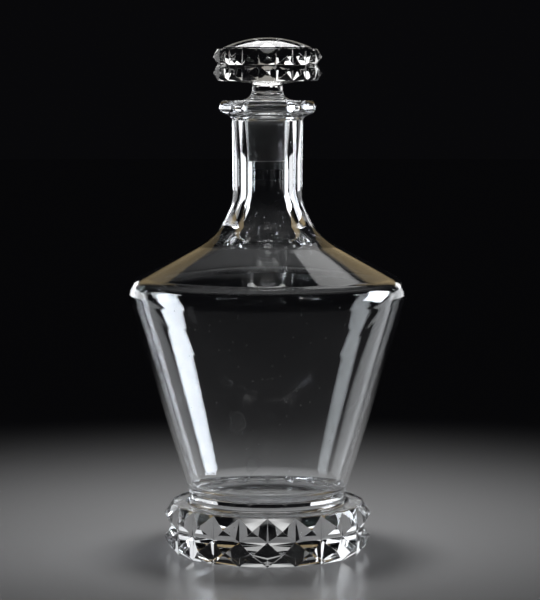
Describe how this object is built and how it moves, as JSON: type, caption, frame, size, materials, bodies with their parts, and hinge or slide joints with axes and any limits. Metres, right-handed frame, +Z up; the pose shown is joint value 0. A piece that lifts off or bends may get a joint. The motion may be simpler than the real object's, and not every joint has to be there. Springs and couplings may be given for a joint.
{
  "type": "cut crystal decanter",
  "caption": "Clear crystal decanter with sloping shoulders, a narrow neck, a heavy foot cut in pyramids and a cut stopper that lifts out.",
  "frame": {"origin": "centre of the face that the foot stands on", "axes": "+Z up along the axis of the bowl and neck; -Y is the viewer's side, where one upright groove of the foot faces"},
  "size_m": [0.1444, 0.1444, 0.2661],
  "materials": {
    "blown_crystal": "fire-polished clear crystal",
    "cut_crystal": "cut and polished clear crystal"
  },
  "bodies": {
    "decanter": {"bowl_and_neck": "blown_crystal", "diamond_foot": "cut_crystal", "lip_ring": "blown_crystal"},
    "stopper": {"stopper": "cut_crystal"}
  },
  "joints": [
    {"name": "stopper_lift", "type": "slide", "parent": "decanter", "child": "stopper", "axis": [0, 0, 1], "range_m": [0, 0.06]}
  ]
}
